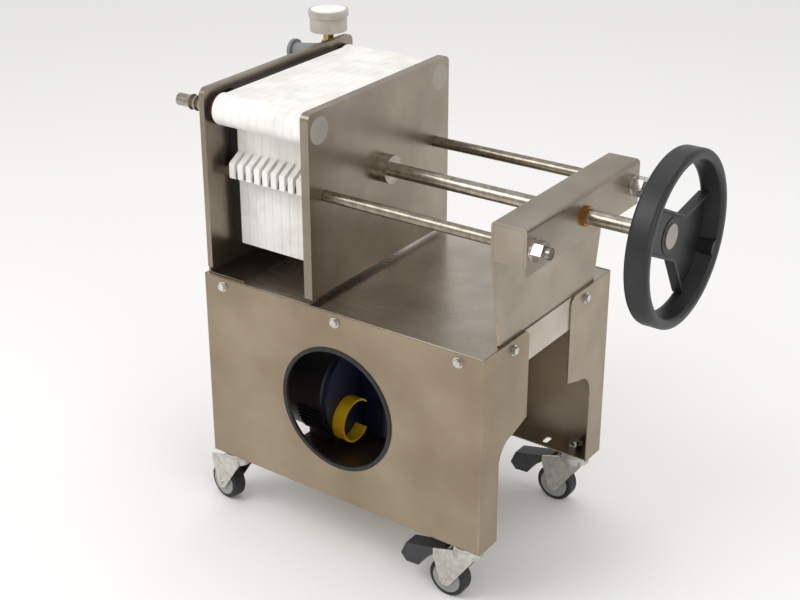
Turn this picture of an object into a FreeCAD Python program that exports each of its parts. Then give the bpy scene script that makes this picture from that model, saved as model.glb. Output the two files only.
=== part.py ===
import FreeCAD, Part
import math
import os
import re
import Sketcher
from FreeCAD import Placement, Rotation, Vector

# Plate filter press on a wheeled stand: a stainless stand of two bent side panels and a tray,
# a fixed head plate, ten filter plates and a follower plate on two tie rods, and a screw with
# a handwheel in a bent yoke. Millimetres, +Z up, +X from the head plate to the handwheel.
# The origin is on the floor, at the middle of the machine's length and width.

os.makedirs("parts", exist_ok=True)
doc = FreeCAD.newDocument("PlateFilterPress")

plate_count = 10

# Heights in the sheet are above the tray's top, and lengths along X start at its head end.
sizes = [
    ("standLength", 415, "stand, length over the end flanges"),
    ("standWidth", 300, "stand, width over the side panels"),
    ("standHeight", 260, "side panel height"),
    ("casterHeight", 82, "floor to the underside of the stand"),
    ("sheetGauge", 1.5, "stainless sheet of the stand"),
    ("sheetGap", 0.2, "gap between nested sheets"),
    ("bendRadius", 2.5, "outer radius of the stand's bends"),
    ("flangeWidth", 100.5, "end flange above the notch, across the stand"),
    ("legWidth", 40, "leg, across the stand, at the end opening"),
    ("archNotchDrop", 117, "tray top down to the notch of the end opening"),
    ("archNotchSlope", 9, "fall of the notch towards the leg"),
    ("archCurve", 30, "radius from the notch into the leg"),
    ("archCorner", 11, "radius of the flange's top inner corner"),
    ("shelfWidth", 36, "inward flange at the foot of a side panel"),
    ("slotLength", 16.5, "shelf slot, across the stand"),
    ("slotWidth", 7.5, "shelf slot, along the stand"),
    ("slotInset", 67, "shelf slot from the end of the stand"),
    ("slotEdge", 21.5, "shelf slot from the side of the stand"),
    ("portholeRadius", 80, "round opening in the near side panel"),
    ("trimLip", 2.6, "rubber trim, reach of its lip over the sheet"),
    ("trimWall", 1.2, "rubber trim, wall outside each face of the sheet"),
    ("trayFlange", 26, "side flange of the tray"),
    ("trayEndFlange", 42.5, "end flange of the tray"),
    ("yokeGauge", 3, "sheet of the yoke"),
    ("yokeReach", 37.8, "stand end to the outer face of the yoke's lip"),
    ("yokeEdge", 14.6, "tie rod axis to the end of the yoke"),
    ("yokeRise", 28.3, "screw axis up to the top of the yoke"),
    ("yokeFall", 28, "screw axis down to the lower edge of the yoke's lip"),
    ("yokeShoulder", 15.9, "screw axis down to where the yoke's web starts to taper"),
    ("yokeLean", 20.8, "what the yoke's web tapers in on each side"),
    ("yokeFoot", 38, "web below the tray's top"),
    ("yokeBend", 5, "outer bend radius of the yoke"),
    ("capDrop", 46, "end cap of the yoke, height"),
    ("headFace", 16.3, "pressing face of the head plate"),
    ("headGauge", 8, "head plate thickness"),
    ("headProud", 0.6, "head plate beyond each side of the stand"),
    ("headBottom", 12, "lower edge of the head plate"),
    ("headRise", 9, "upper edge of the head plate above the filter plates"),
    ("headCorner", 10, "upper corners of the head plate"),
    ("bracketGauge", 3, "foot bracket of the head plate"),
    ("bracketToe", 64, "end of the bracket's foot on the tray"),
    ("bracketRise", 32, "height of the bracket's upright"),
    ("bracketInset", 4.6, "bracket inside each end of the head plate"),
    ("backingGauge", 12, "black backing plate thickness"),
    ("stackGap", 0.3, "gap between plates of the closed stack"),
    ("platePitch", 13.2, "filter plate spacing in the closed stack"),
    ("plateInset", 10.2, "tie rod axis to the side of a filter plate's body"),
    ("plateBottom", 33.5, "lower edge of a filter plate"),
    ("plateTop", 237, "upper edge of a filter plate"),
    ("portEdge", 21, "port axis from the end of the follower plate"),
    ("portBoss", 20, "outer radius of a plate's port boss"),
    ("portNeck", 16, "port axis down to the foot of the neck that joins boss and body"),
    ("portBore", 8, "radius of the port"),
    ("collarGap", 3.7, "head plate to the seal of the first port"),
    ("sealGauge", 4, "seal between the backing plate's boss and the first port"),
    ("sealRadius", 18.5, "seal of the first port, outer radius"),
    ("channelDepth", 1.2, "channels in a filter plate's faces"),
    ("channelEdge", 14, "edge of a filter plate to its channels"),
    ("channelTop", 40, "upper edge of a filter plate down to its channels"),
    ("channelPitch", 20, "spacing of the channels"),
    ("channelWide", 12, "width of a channel"),
    ("earSpring", 27.1, "tie rod axis up to where a plate's ear leaves its body"),
    ("earSlope", 15.1, "tie rod axis up to the shoulder of the ear"),
    ("earReach", 10.8, "tie rod axis to the outer edge of the ear"),
    ("earHook", 5.4, "tie rod axis down to the lower edge of the ear"),
    ("earRound", 3, "roundness of the ear's tip"),
    ("earRoot", 2, "what the ear overlaps the plate's body"),
    ("earGauge", 8, "ear thickness"),
    ("earPlay", 0.4, "play between an ear and its tie rod"),
    ("followerGauge", 12, "follower plate thickness"),
    ("followerInset", 3.6, "follower plate inside each end of the head plate"),
    ("followerBottom", 7.3, "lower edge of the follower plate"),
    ("followerRise", 4, "upper edge of the follower plate above the filter plates"),
    ("followerCorner", 9, "upper corners of the follower plate"),
    ("plugRadius", 17, "port plug in the follower plate"),
    ("plugPlay", 0.1, "play round a plug"),
    ("thrustRadius", 18, "thrust boss radius"),
    ("thrustLength", 16, "thrust boss length"),
    ("thrustWall", 3, "floor of the thrust boss behind the screw"),
    ("screwRadius", 9, "screw"),
    ("screwHeight", 132.9, "axis of the screw and the tie rods"),
    ("screwPlay", 0.05, "running play of the screw in its bush and boss"),
    ("bushRadius", 12, "bronze bush radius"),
    ("bushProud", 4, "bush beyond the lip"),
    ("rodRadius", 7, "tie rod"),
    ("rodInset", 9.8, "tie rod axis from the port axis, across"),
    ("rodPlay", 0.3, "play of the tie rods in the follower plate"),
    ("rodFit", 0.1, "play of the tie rods in the fixed plates"),
    ("rodProud", 22, "tie rod and nut beyond the yoke's lip"),
    ("nutWide", 22, "tie rod nut across its flats"),
    ("nutGauge", 13, "tie rod nut thickness"),
    ("washerRadius", 13, "washer under a tie rod nut"),
    ("washerGauge", 2.5, "washer thickness"),
    ("wheelOut", 123.8, "yoke's lip to the front of the handwheel's rim, press closed"),
    ("wheelRadius", 101, "handwheel radius"),
    ("rimDepth", 27.4, "handwheel rim along the axis"),
    ("rimWall", 12, "handwheel rim across the axis, at its front"),
    ("rimDraft", 5.5, "what the rim's wall gains towards its back"),
    ("rimRound", 5, "roundness of the rim's section"),
    ("spokeHalf", 26.5, "half width of the straight spoke"),
    ("fanStart", 15, "where the other spoke starts to widen, past the axis"),
    ("fanReach", 61, "where its edge meets the rim, past the axis"),
    ("fanHalf", 58.5, "half width of the widened spoke at the rim"),
    ("webTurn", -25.5, "turn of the spokes about the axis at rest, in degrees"),
    ("spokeGauge", 6, "spoke thickness"),
    ("ribWall", 3, "thickness of the ribs along the spokes' edges"),
    ("ribRise", 6, "what the ribs rise above the spokes"),
    ("lugRadius", 10, "boss on the rim for a crank handle"),
    ("lugOut", 89.5, "boss from the wheel's axis"),
    ("lugInset", 2.5, "front of the boss behind the front of the rim"),
    ("wheelHubRadius", 21, "handwheel hub radius"),
    ("hubSet", 30.6, "front of the rim back to the back of the handwheel's hub"),
    ("hubDepth", 10, "handwheel's hub along the axis"),
    ("hubCapRadius", 14.3, "hub cap radius"),
    ("hubCapGauge", 1.2, "hub cap thickness"),
    ("hubNutWide", 30, "nut behind the handwheel across its flats"),
    ("hubNutGauge", 14, "nut behind the handwheel, thickness"),
    ("barbReach", 46, "outlet tail behind the tray's head end"),
    ("barbRadius", 8, "outlet tail radius"),
    ("barbRidge", 10, "outlet ridge radius"),
    ("barbCollar", 13, "outlet collar radius"),
    ("barbCollarDepth", 9, "outlet collar along the axis"),
    ("barbFirst", 21, "head plate's back to the foot of the first ridge"),
    ("barbRamp", 7, "ridge along the axis"),
    ("barbPitch", 9, "spacing of the ridges"),
    ("inletReach", 67, "inlet flange behind the tray's head end"),
    ("inletFlange", 14.5, "inlet flange radius"),
    ("inletBore", 9, "inlet bore radius"),
    ("teeRadius", 15, "inlet tee radius"),
    ("inletDepth", 30, "inlet bore along the axis"),
    ("inletLip", 5, "inlet flange thickness"),
    ("inletNeck", 10.5, "radius behind the inlet flange"),
    ("coneEnd", 12, "end of the cone from the inlet's mouth"),
    ("teeWall", 5.2, "what the tee's neck is slimmer than the tee"),
    ("teeNeck", 6, "tee's neck above the tee"),
    ("gaugeBack", 5, "gauge axis behind the tray's head end"),
    ("gaugeRise", 44, "top of the gauge above the filter plates"),
    ("gaugeDepth", 28, "gauge case height"),
    ("gaugeRadius", 25, "gauge case radius"),
    ("bezelRadius", 27, "gauge bezel radius"),
    ("bezelDepth", 8, "gauge bezel height"),
    ("bezelWall", 3, "gauge bezel width"),
    ("dialInset", 2, "dial below the bezel"),
    ("stemWide", 13.6, "gauge stem across its flats"),
    ("baseGauge", 3, "pump base plate thickness"),
    ("baseStart", 80, "pump base plate, start along the stand"),
    ("baseEnd", 300, "pump base plate, end along the stand"),
    ("baseEdge", 22, "pump base plate from the side of the stand"),
    ("motorRise", 84, "foot of the stand up to the motor's axis"),
    ("motorEdge", 58, "motor axis from the near side of the stand"),
    ("motorRadius", 44, "motor housing radius"),
    ("motorStart", 40, "motor housing, start along the stand"),
    ("motorEnd", 137, "motor housing, end along the stand"),
    ("pumpRadius", 27.2, "pump body radius"),
    ("pumpEnd", 192, "pump body, end along the stand"),
    ("bandRadius", 30, "yellow band radius"),
    ("bandWide", 18, "yellow band width"),
    ("bandWall", 2.5, "yellow band thickness"),
    ("casterInset", 26.5, "caster stud from the end of the stand"),
    ("casterEdge", 19, "caster stud from the side of the stand"),
    ("studRadius", 5, "caster stud radius"),
    ("studNutWide", 17, "caster nut across its flats"),
    ("studNutGauge", 8, "caster nut thickness"),
    ("raceRadius", 19, "swivel race radius"),
    ("raceGauge", 4, "fixed race thickness"),
    ("crownDepth", 11, "fork crown depth"),
    ("forkGauge", 2, "fork sheet"),
    ("forkInside", 24, "width between the fork's arms"),
    ("forkEye", 8, "radius of the fork's lower end"),
    ("casterTrail", 24, "wheel axle behind the stud"),
    ("axleRadius", 3, "wheel axle radius"),
    ("tyreRadius", 25, "caster wheel radius"),
    ("tyreWall", 6, "tyre thickness"),
    ("tyreWide", 19, "tyre width"),
    ("turnPlay", 0.05, "running play of stud and axle"),
    ("swivelGap", 0.3, "gap between the race and the crown"),
    ("pedalBack", 36, "brake pivot behind the stud"),
    ("pedalDrop", 22, "brake pivot below the stand"),
    ("pedalPin", 2, "brake pivot radius"),
    ("pedalWide", 22, "brake pedal width"),
    ("headCasterTurn", -10, "near head caster, turned at rest, in degrees"),
]

sheet = doc.addObject("Spreadsheet::Sheet", "Sizes")
for row, (name, value, note) in enumerate(sizes, 1):
    sheet.set(f"A{row}", note)
    sheet.set(f"B{row}", str(value))
    sheet.setAlias(f"B{row}", name)
doc.recompute()

# Lengths that follow from others, so that a change of one size carries its neighbours along.
derived = {
    "portholeDrop": "(standHeight / 2)",
    "casterSide": "(standWidth / 2 - casterEdge)",
    "slotSide": "(standWidth / 2 - slotEdge)",
    "archTopHalf": "(standWidth / 2 - flangeWidth)",
    "archLowHalf": "(standWidth / 2 - legWidth)",
    "baseHalf": "(standWidth / 2 - baseEdge)",
    "motorSide": "(standWidth / 2 - motorEdge)",
    "motorAxis": "(standHeight - motorRise)",
    "headHalf": "(standWidth / 2 + headProud)",
    "headTop": "(plateTop + headRise)",
    "bracketHalf": "(headHalf - bracketInset)",
    "followerHalf": "(headHalf - followerInset)",
    "followerTop": "(plateTop + followerRise)",
    "portSide": "(followerHalf - portEdge)",
    "portHeight": "(plateTop - portBoss)",
    "gaugeTop": "(plateTop + gaugeRise)",
    "rodSide": "(portSide - rodInset)",
    "plateHalf": "(rodSide - plateInset)",
    "earOut": "(rodSide + earReach)",
    "earTop": "(screwHeight + earSpring)",
    "earShoulder": "(screwHeight + earSlope)",
    "earBottom": "(screwHeight - earHook)",
    "yokeFace": "(standLength + yokeReach)",
    "yokeHalf": "(rodSide + yokeEdge)",
    "yokeFootHalf": "(yokeHalf - yokeLean)",
    "yokeTop": "(screwHeight + yokeRise)",
    "yokeLip": "(screwHeight - yokeFall)",
    "yokeTaper": "(screwHeight - yokeShoulder)",
    "wheelFront": "(yokeFace + wheelOut)",
    "wheelHubBack": "(wheelFront - hubSet)",
    "wheelHubFront": "(wheelHubBack + hubDepth)",
}

datum_x = "(inletReach - wheelFront) / 2"
datum_z = "(casterHeight + standHeight)"


def formula(text):
    """A sheet formula: derived lengths are written out, and each alias gets the sheet's name."""
    word = re.compile(r"[A-Za-z]\w+")
    while any(m in derived for m in word.findall(text)):
        text = word.sub(lambda m: derived.get(m[0], m[0]), text)
    return word.sub(lambda m: m[0] if m[0] == "sqrt" else "Sizes." + m[0], text)


def worth(text):
    """What a formula gives with the sheet as it stands."""
    return float(sheet.evalExpression(formula(text)))


def bind(thing, field, text):
    """Tie a property to a formula, or set it where the text is a plain zero."""
    thing.setExpression(field, formula(text))


def set_place(thing, x="0", y="0", z="0"):
    """Place a sub-part; x, y and z count from the tray's head end, middle plane and top."""
    bind(thing, "Placement.Base.x", f"{datum_x} + ({x})")
    bind(thing, "Placement.Base.y", y)
    bind(thing, "Placement.Base.z", f"{datum_z} + ({z})")


def new_body(name, x="0", y="0", z="0"):
    body = doc.addObject("PartDesign::Body", name)
    body.Label = name
    set_place(body, x, y, z)
    return body


def new_sketch(body, role, off="0"):
    """A sketch on one of the body's origin planes, moved by off along the plane's normal."""
    sketch = body.newObject("Sketcher::SketchObject", body.Name + "Sketch")
    plane = next(p for p in body.Origin.OriginFeatures if p.Role == role)
    sketch.AttachmentSupport = [(plane, "")]
    sketch.MapMode = "FlatFace"
    if off != "0":
        bind(sketch, "AttachmentOffset.Base.z", off)
    return sketch


def pin_down(sketch, kind, place, text):
    """One dimension of a sketch, tied to its formula."""
    index = sketch.addConstraint(Sketcher.Constraint(kind, *place, worth(text)))
    if re.search("[A-Za-z]", text):
        bind(sketch, f"Constraints[{index}]", text)


def outline(sketch, corners):
    """A closed outline of straight edges through corners given as pairs of formulas."""
    points = [Vector(worth(x), worth(y), 0) for x, y in corners]
    count = len(points)
    first = sketch.GeometryCount
    for i in range(count):
        sketch.addGeometry(Part.LineSegment(points[i], points[(i + 1) % count]))
    for i in range(count):
        sketch.addConstraint(Sketcher.Constraint("Coincident", first + i, 2, first + (i + 1) % count, 1))
    for i, (x, y) in enumerate(corners):
        pin_down(sketch, "DistanceX", (first + i, 1), x)
        pin_down(sketch, "DistanceY", (first + i, 1), y)


def ring(sketch, x, y, radius):
    """A circle at a pair of formulas."""
    circle = Part.Circle(Vector(worth(x), worth(y), 0), Vector(0, 0, 1), worth(radius))
    index = sketch.addGeometry(circle)
    pin_down(sketch, "DistanceX", (index, 3), x)
    pin_down(sketch, "DistanceY", (index, 3), y)
    pin_down(sketch, "Radius", (index,), radius)


def pad(body, sketch, length, both=False, back=False):
    feature = body.newObject("PartDesign::Pad", body.Name + "Pad")
    feature.Profile = sketch
    feature.SideType = "Symmetric" if both else "One side"
    feature.Reversed = back
    bind(feature, "Length", length)
    doc.recompute()
    return feature


def pocket(body, sketch, length, both=False, back=False):
    before = body.Shape.Volume
    feature = body.newObject("PartDesign::Pocket", body.Name + "Pocket")
    feature.Profile = sketch
    feature.SideType = "Symmetric" if both else "One side"
    feature.Reversed = back
    bind(feature, "Length", length)
    doc.recompute()
    if not feature.Shape.Volume < before:
        raise RuntimeError(f"{feature.Label} cuts nothing")
    return feature


def turned(name, corners, x="0", y="0", z="0", role="XZ_Plane", axis="H_Axis"):
    """A body turned from a half profile of (along, out) formulas, about its own X or Z axis."""
    body = new_body(name, x, y, z)
    sketch = new_sketch(body, role)
    outline(sketch, corners)
    feature = body.newObject("PartDesign::Revolution", name + "Turn")
    feature.Profile = sketch
    feature.ReferenceAxis = (sketch, [axis])
    feature.Angle = 360
    doc.recompute()
    return body


def round_edges(body, radius, wanted, kind="Fillet"):
    """Round the edges whose middle, counted from the body's own zero, is wanted."""
    tip = body.Tip
    names = []
    for i, edge in enumerate(tip.Shape.Edges, 1):
        middle = edge.valueAt((edge.FirstParameter + edge.LastParameter) / 2)
        ends = edge.valueAt(edge.LastParameter) - edge.valueAt(edge.FirstParameter)
        if wanted(middle, ends):
            names.append(f"Edge{i}")
    feature = body.newObject(f"PartDesign::{kind}", body.Name + kind)
    feature.Base = (tip, names)
    bind(feature, "Radius" if kind == "Fillet" else "Size", radius)
    doc.recompute()
    return feature


def along_x(ends):
    return abs(ends.x) > 0.5 and abs(ends.y) < 0.01 and abs(ends.z) < 0.01


def along_y(ends):
    return abs(ends.y) > 0.5 and abs(ends.x) < 0.01 and abs(ends.z) < 0.01


def along_z(ends):
    return abs(ends.z) > 0.5 and abs(ends.x) < 0.01 and abs(ends.y) < 0.01


def near(value, text, slack=0.05):
    return abs(value - worth(text)) < slack


# ---------------------------------------------------------------- stand


def side_panel(name, side):
    """One bent sheet: a side wall, an end flange that forms the legs at each end, and a shelf."""
    body = new_body(name)
    outer = "standWidth / 2"
    plan = new_sketch(body, "XY_Plane")
    lip = "archTopHalf"
    steps = [
        ("0", f"{side} * ({lip})"),
        ("0", f"{side} * ({outer})"),
        ("standLength", f"{side} * ({outer})"),
        ("standLength", f"{side} * ({lip})"),
        ("standLength - sheetGauge", f"{side} * ({lip})"),
        ("standLength - sheetGauge", f"{side} * ({outer} - sheetGauge)"),
        ("sheetGauge", f"{side} * ({outer} - sheetGauge)"),
        ("sheetGauge", f"{side} * ({lip})"),
    ]
    outline(plan, steps)
    pad(body, plan, "standHeight", back=True)

    # the shelf turns in at the foot of the wall
    foot = new_sketch(body, "XY_Plane", "-standHeight")
    inner = f"{side} * ({outer} - sheetGauge)"
    edge = f"{side} * ({outer} - sheetGauge - shelfWidth)"
    start = "sheetGauge"
    end = "standLength - sheetGauge"
    outline(foot, [(start, inner), (end, inner), (end, edge), (start, edge)])
    pad(body, foot, "sheetGauge")

    # the end opening between the legs: a notch, then a curve into each leg
    arch = new_sketch(body, "YZ_Plane")
    leg = f"{side} * (archLowHalf)"
    turn = f"{side} * (archLowHalf - archCurve)"
    bend_top = "-(archNotchDrop + archNotchSlope)"
    corners = [
        ("0", "-(standHeight + 1)"),
        (leg, "-(standHeight + 1)"),
        (leg, f"{bend_top} - archCurve"),
        (turn, bend_top),
        (f"{side} * (archTopHalf)", "-archNotchDrop"),
        ("0", "-archNotchDrop"),
    ]
    outline(arch, corners)
    pocket(body, arch, "2 * standLength + 2", both=True)
    lobe = new_sketch(body, "YZ_Plane")
    ring(lobe, turn, f"{bend_top} - archCurve", "archCurve")
    pocket(body, lobe, "2 * standLength + 2", both=True)
    return body


def finish_side_panel(body, side, has_porthole):
    """Slots and stud holes in the shelf, the bolt-on corner rounding and the porthole."""
    shelf = new_sketch(body, "XY_Plane", "-standHeight")
    ends = new_sketch(body, "XY_Plane", "-standHeight")
    for middle in ("slotInset", "standLength - slotInset"):
        near_edge = f"{side} * (slotSide) - (slotLength - slotWidth) / 2"
        far_edge = f"{side} * (slotSide) + (slotLength - slotWidth) / 2"
        left = f"{middle} - slotWidth / 2"
        right = f"{middle} + slotWidth / 2"
        outline(shelf, [(left, near_edge), (right, near_edge), (right, far_edge), (left, far_edge)])
        ring(ends, middle, near_edge, "slotWidth / 2")
        ring(ends, middle, far_edge, "slotWidth / 2")
    for middle in ("casterInset", "standLength - casterInset"):
        ring(shelf, middle, f"{side} * (casterSide)", "studRadius + rodFit")
    pocket(body, shelf, "sheetGauge * 3", both=True)
    pocket(body, ends, "sheetGauge * 3", both=True)
    if has_porthole:
        wall = new_sketch(body, "XZ_Plane", f"-({side} * (standWidth / 2))")
        ring(wall, "standLength / 2", "-portholeDrop", "portholeRadius")
        pocket(body, wall, "sheetGauge * 4", both=True)
    top = worth("archTopHalf")
    round_edges(
        body,
        "archCorner",
        lambda p, d: along_x(d) and abs(abs(p.y) - top) < 0.05 and abs(p.z) < 0.05,
    )
    wall_y = worth("standWidth / 2")
    round_edges(
        body,
        "bendRadius",
        lambda p, d: abs(abs(p.y) - wall_y) < 0.05
        and (
            (along_z(d) and (abs(p.x) < 0.05 or near(p.x, "standLength")))
            or (along_x(d) and near(p.z, "-standHeight"))
        ),
    )


def tray():
    """A sheet with its four edges turned down inside the panels, and a slot for the yoke's web."""
    body = new_body("top_tray")
    side = "(standWidth / 2 - sheetGauge - sheetGap)"
    inside = f"({side} - sheetGauge)"
    start = "(sheetGauge + sheetGap)"
    end = f"(standLength - {start})"
    section = new_sketch(body, "YZ_Plane", start)
    outline(
        section,
        [
            (f"-{side}", "0"),
            (f"-{side}", "-trayFlange"),
            (f"-{inside}", "-trayFlange"),
            (f"-{inside}", "-sheetGauge"),
            (inside, "-sheetGauge"),
            (inside, "-trayFlange"),
            (side, "-trayFlange"),
            (side, "0"),
        ],
    )
    pad(body, section, f"{end} - {start}")
    for place in (start, f"{end} - sheetGauge"):
        flap = new_sketch(body, "YZ_Plane", place)
        outline(
            flap,
            [(f"-{inside}", "-sheetGauge"), (inside, "-sheetGauge"), (inside, "-trayEndFlange"), (f"-{inside}", "-trayEndFlange")],
        )
        pad(body, flap, "sheetGauge")
    slot = new_sketch(body, "XY_Plane")
    near_x = f"({end} - sheetGauge - yokeGauge - 2 * sheetGap)"
    far_x = f"({end} - sheetGauge)"
    half = "(yokeFootHalf + 2)"
    outline(slot, [(near_x, f"-{half}"), (far_x, f"-{half}"), (far_x, half), (near_x, half)])
    pocket(body, slot, "sheetGauge * 4", both=True)
    side_y = worth(side)
    round_edges(
        body,
        "bendRadius",
        lambda p, d: abs(p.z) < 0.05 and along_x(d) and abs(abs(p.y) - side_y) < 0.05,
    )


def porthole_trim():
    """A rubber channel pressed over the edge of the porthole."""
    inner = "(portholeRadius - trimLip)"
    outer = "(portholeRadius + trimLip)"
    edge = "(portholeRadius - sheetGap)"
    front = "(sheetGauge / 2 + sheetGap / 2)"
    rim = f"({front} + trimWall)"
    body = new_body("porthole_trim", "standLength / 2", "-(standWidth - sheetGauge) / 2", "-portholeDrop")
    sketch = new_sketch(body, "YZ_Plane")
    outline(
        sketch,
        [
            (f"-{rim}", inner),
            (rim, inner),
            (rim, outer),
            (front, outer),
            (front, edge),
            (f"-{front}", edge),
            (f"-{front}", outer),
            (f"-{rim}", outer),
        ],
    )
    feature = body.newObject("PartDesign::Revolution", "TrimTurn")
    feature.Profile = sketch
    feature.ReferenceAxis = (sketch, ["H_Axis"])
    feature.Angle = 360
    doc.recompute()


# ---------------------------------------------------------------- head end


def flat_plate(name, x, gauge, half, bottom, top, corner):
    """An upright plate across the machine, its upper corners rounded."""
    body = new_body(name, x)
    face = new_sketch(body, "YZ_Plane")
    outline(face, [(f"-{half}", bottom), (half, bottom), (half, top), (f"-{half}", top)])
    pad(body, face, gauge)
    round_edges(body, corner, lambda p, d: along_x(d) and near(p.z, top))
    return body


def rod_holes(body, play, reach):
    holes = new_sketch(body, "YZ_Plane")
    for side in ("-", ""):
        ring(holes, f"{side}rodSide", "screwHeight", f"rodRadius + {play}")
    pocket(body, holes, reach, both=True)


def head_plate():
    body = flat_plate(
        "head_plate", "headFace - headGauge", "headGauge", "headHalf", "headBottom", "headTop", "headCorner"
    )
    rod_holes(body, "rodFit", "headGauge * 3")


def head_bracket():
    """The angle that carries the head plate: an upright behind it and a foot on the tray."""
    body = new_body("head_bracket", "headFace - headGauge - bracketGauge")
    side = new_sketch(body, "XZ_Plane")
    toe = "(bracketToe - headFace + headGauge + bracketGauge)"
    outline(
        side,
        [
            ("0", "0"),
            (toe, "0"),
            (toe, "bracketGauge"),
            ("bracketGauge", "bracketGauge"),
            ("bracketGauge", "bracketRise"),
            ("0", "bracketRise"),
        ],
    )
    pad(body, side, "bracketHalf * 2", both=True)


def port_discs(body, radius, start, length):
    """A disc on each port's axis, added to a plate."""
    face = new_sketch(body, "YZ_Plane", start)
    for side in ("-", ""):
        ring(face, f"{side}portSide", "portHeight", radius)
    pad(body, face, length)


def plate_blank(body, gauge):
    """The outline that all plates of the stack share: a square body and two port bosses."""
    face = new_sketch(body, "YZ_Plane")
    outline(
        face,
        [
            ("-plateHalf", "plateBottom"),
            ("plateHalf", "plateBottom"),
            ("plateHalf", "portHeight - portNeck"),
            ("portSide", "portHeight - portNeck"),
            ("portSide", "plateTop"),
            ("-portSide", "plateTop"),
            ("-portSide", "portHeight - portNeck"),
            ("-plateHalf", "portHeight - portNeck"),
        ],
    )
    pad(body, face, gauge)
    port_discs(body, "portBoss", "0", gauge)


def backing_plate():
    """The black plate between the stack and the head plate, its bosses set back for the seals."""
    body = new_body("backing_plate", "headFace")
    plate_blank(body, "backingGauge")
    room = new_sketch(body, "YZ_Plane", "collarGap")
    seat = new_sketch(body, "YZ_Plane")
    for way in ("-1", "1"):
        inner = f"{way} * (plateHalf)"
        outer = f"{way} * (portSide + portBoss + 1)"
        low = "portHeight - portBoss - 1"
        outline(room, [(inner, low), (outer, low), (outer, "plateTop + 1"), (inner, "plateTop + 1")])
        ring(seat, f"{way} * portSide", "portHeight", "portBore")
    pocket(body, room, "backingGauge", back=True)
    pocket(body, seat, "backingGauge * 3", both=True)


def port_seals():
    """The red-brown rubber rings between the backing plate's bosses and the first plate's ports."""
    body = new_body("port_seals", "headFace + collarGap")
    face = new_sketch(body, "YZ_Plane")
    for side in ("-", ""):
        ring(face, f"{side}portSide", "portHeight", "sealRadius")
        ring(face, f"{side}portSide", "portHeight", "portBore")
    pad(body, face, "sealGauge")


def filter_plate(number):
    """A moulded frame with a port boss at each upper corner and ears that hang on the rods."""
    start = f"headFace + backingGauge + stackGap + {number - 1} * platePitch"
    body = new_body(f"filter_plate_{number:02d}", start)
    plate_blank(body, "platePitch - stackGap")
    if number == 1:
        reach = "(backingGauge - collarGap - sealGauge)"
        port_discs(body, "portBoss", f"-{reach}", reach)
    ears = new_sketch(body, "YZ_Plane", "(platePitch - stackGap - earGauge) / 2")
    for side in ("-1", "1"):
        outline(
            ears,
            [
                (f"{side} * (plateHalf - earRoot)", "earTop"),
                (f"{side} * plateHalf", "earTop"),
                (f"{side} * earOut", "earShoulder"),
                (f"{side} * earOut", "earBottom"),
                (f"{side} * (plateHalf - earRoot)", "earBottom"),
            ],
        )
    pad(body, ears, "earGauge")
    tip = worth("earOut")
    round_edges(body, "earRound", lambda p, d: along_x(d) and abs(abs(p.y) - tip) < 0.05 and p.z < worth("earTop"))
    cuts = new_sketch(body, "YZ_Plane")
    crests = new_sketch(body, "YZ_Plane")
    for side in ("-1", "1"):
        ring(cuts, f"{side} * portSide", "portHeight", "portBore")
        rod_left = f"{side} * rodSide - (rodRadius + earPlay)"
        rod_right = f"{side} * rodSide + (rodRadius + earPlay)"
        below = "earBottom - earPlay"
        outline(
            cuts,
            [(rod_left, "screwHeight"), (rod_right, "screwHeight"), (rod_right, below), (rod_left, below)],
        )
        ring(crests, f"{side} * rodSide", "screwHeight", "rodRadius + earPlay")
    pocket(body, cuts, "platePitch * 3", both=True)
    pocket(body, crests, "platePitch * 3", both=True)
    cut_channels(body, "0", True)
    cut_channels(body, "platePitch - stackGap", False)


def cut_channels(body, start, back):
    """The upright channels that lead the wine across one face of a filter plate."""
    face = new_sketch(body, "YZ_Plane", start)
    low = "plateBottom + channelEdge"
    high = "plateTop - channelTop"
    for step in range(-4, 5):
        left = f"{step} * channelPitch - channelWide / 2"
        right = f"{step} * channelPitch + channelWide / 2"
        outline(face, [(left, low), (right, low), (right, high), (left, high)])
    pocket(body, face, "channelDepth", back=back)


# ---------------------------------------------------------------- follower and screw

follower_x = f"(headFace + backingGauge + stackGap + {plate_count} * platePitch)"
follower_face = f"({follower_x} + followerGauge)"


def follower_plate():
    body = flat_plate(
        "follower_plate",
        follower_x,
        "followerGauge",
        "followerHalf",
        "followerBottom",
        "followerTop",
        "followerCorner",
    )
    rod_holes(body, "rodPlay", "followerGauge * 3")
    holes = new_sketch(body, "YZ_Plane")
    for side in ("-", ""):
        ring(holes, f"{side}portSide", "portHeight", "plugRadius + plugPlay")
    pocket(body, holes, "followerGauge * 3", both=True)


def discs(name, x, y, z, radius, length):
    """Two like discs, one each side of the middle plane, in one node."""
    pair = []
    for side in ("-", ""):
        disc = doc.addObject("Part::Cylinder", name + "Disc")
        bind(disc, "Radius", radius)
        bind(disc, "Height", length)
        disc.Placement = Placement(Vector(0, 0, 0), Rotation(Vector(0, 1, 0), 90))
        set_place(disc, x, f"{side}{y}", z)
        pair.append(disc)
    both = doc.addObject("Part::Compound", name)
    both.Label = name
    both.Links = pair
    return both


def thrust_boss():
    """The cup on the follower plate in which the screw's end turns."""
    bore = "(screwRadius + screwPlay)"
    turned(
        "thrust_boss",
        [
            ("0", "0"),
            ("thrustWall", "0"),
            ("thrustWall", bore),
            ("thrustLength", bore),
            ("thrustLength", "thrustRadius"),
            ("0", "thrustRadius"),
        ],
        follower_face,
        "0",
        "screwHeight",
    )


def screw_spindle():
    start = f"({follower_face} + thrustWall + 2 * screwPlay)"
    turned(
        "screw_spindle",
        [
            (start, "0"),
            (start, "screwRadius"),
            ("wheelHubFront - hubCapGauge - 1", "screwRadius"),
            ("wheelHubFront - hubCapGauge - 1", "0"),
        ],
        "0",
        "0",
        "screwHeight",
    )


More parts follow.
